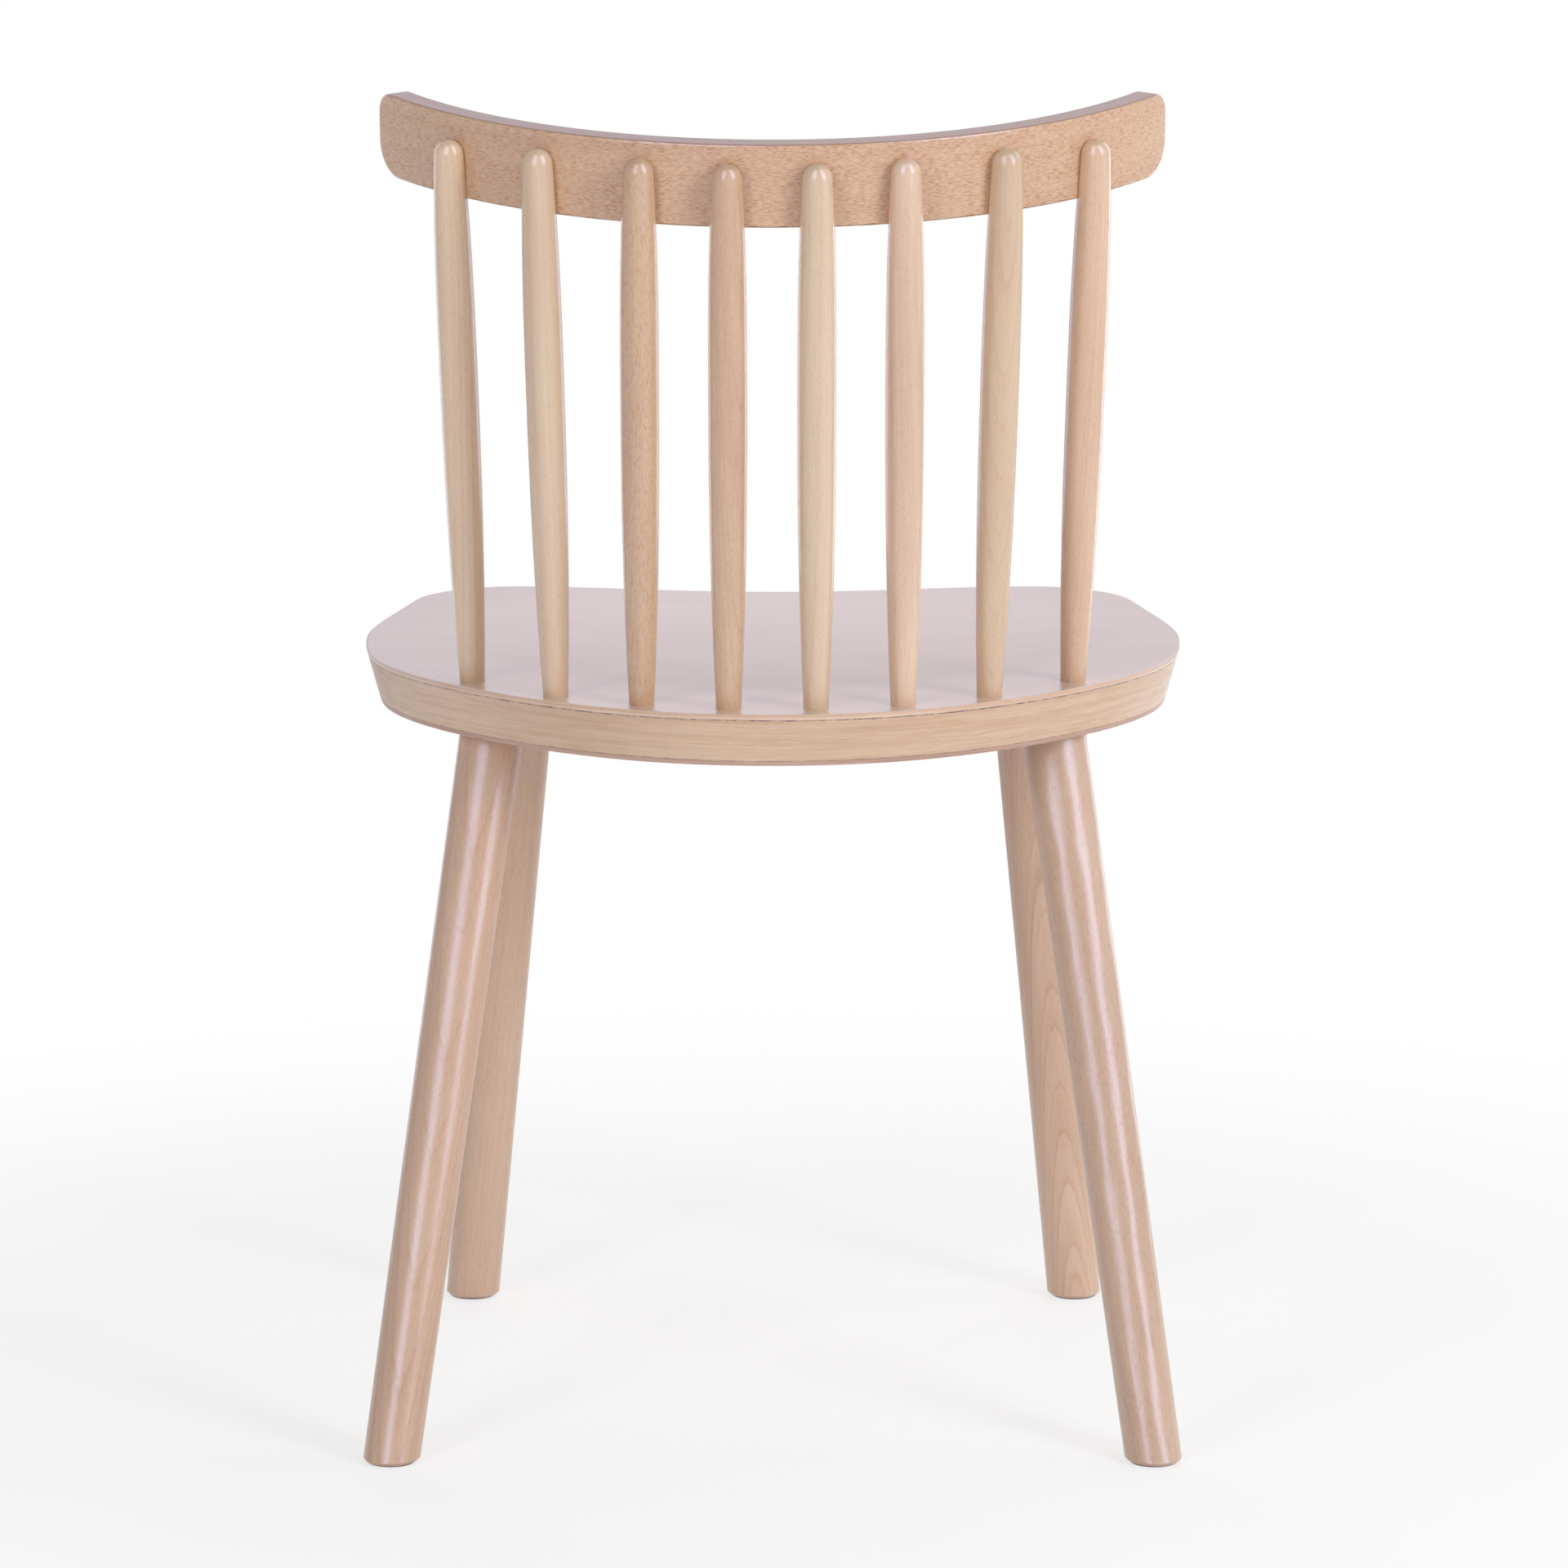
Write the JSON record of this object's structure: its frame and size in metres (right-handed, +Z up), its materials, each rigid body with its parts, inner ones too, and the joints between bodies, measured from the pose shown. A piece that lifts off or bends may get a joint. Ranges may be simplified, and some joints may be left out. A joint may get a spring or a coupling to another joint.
{
  "type": "spindle back chair",
  "caption": "Wooden side chair with a dished veneered seat, splayed turned legs and a back of turned spindles let into a curved crest rail.",
  "frame": {"origin": "on the floor, at the middle of the chair's outline seen from above", "axes": "+Z up, the chair faces -Y, +X is the sitter's left; the chair is symmetric across X = 0"},
  "size_m": [0.5006, 0.4807, 0.8036],
  "materials": {
    "seat_veneer": "satin lacquer on pale beech veneer",
    "seat_edge_wood": "satin lacquer on beech, long grain",
    "core_wood": "bare beech",
    "rail_wood": "satin lacquer on bent beech",
    "spindle_wood": "satin lacquer on turned beech",
    "leg_wood": "satin lacquer on turned beech",
    "glide_plastic": "matt dark plastic",
    "nail_steel": "plain zinc-plated steel"
  },
  "bodies": {
    "root": {"seat_top_ply": "seat_veneer", "seat_core": "core_wood", "seat_edge_band": "seat_edge_wood", "seat_bottom_ply": "seat_veneer", "crest_rail": "rail_wood", "spindle_1": "spindle_wood", "spindle_2": "spindle_wood", "spindle_3": "spindle_wood", "spindle_4": "spindle_wood", "spindle_5": "spindle_wood", "spindle_6": "spindle_wood", "spindle_7": "spindle_wood", "spindle_8": "spindle_wood", "crest_dowels": "core_wood", "leg_rear_left": "leg_wood", "leg_rear_right": "leg_wood", "leg_front_left": "leg_wood", "leg_front_right": "leg_wood", "glide_rear_left": "glide_plastic", "glide_rear_right": "glide_plastic", "glide_front_left": "glide_plastic", "glide_front_right": "glide_plastic", "glide_nails": "nail_steel"}
  },
  "joints": []
}
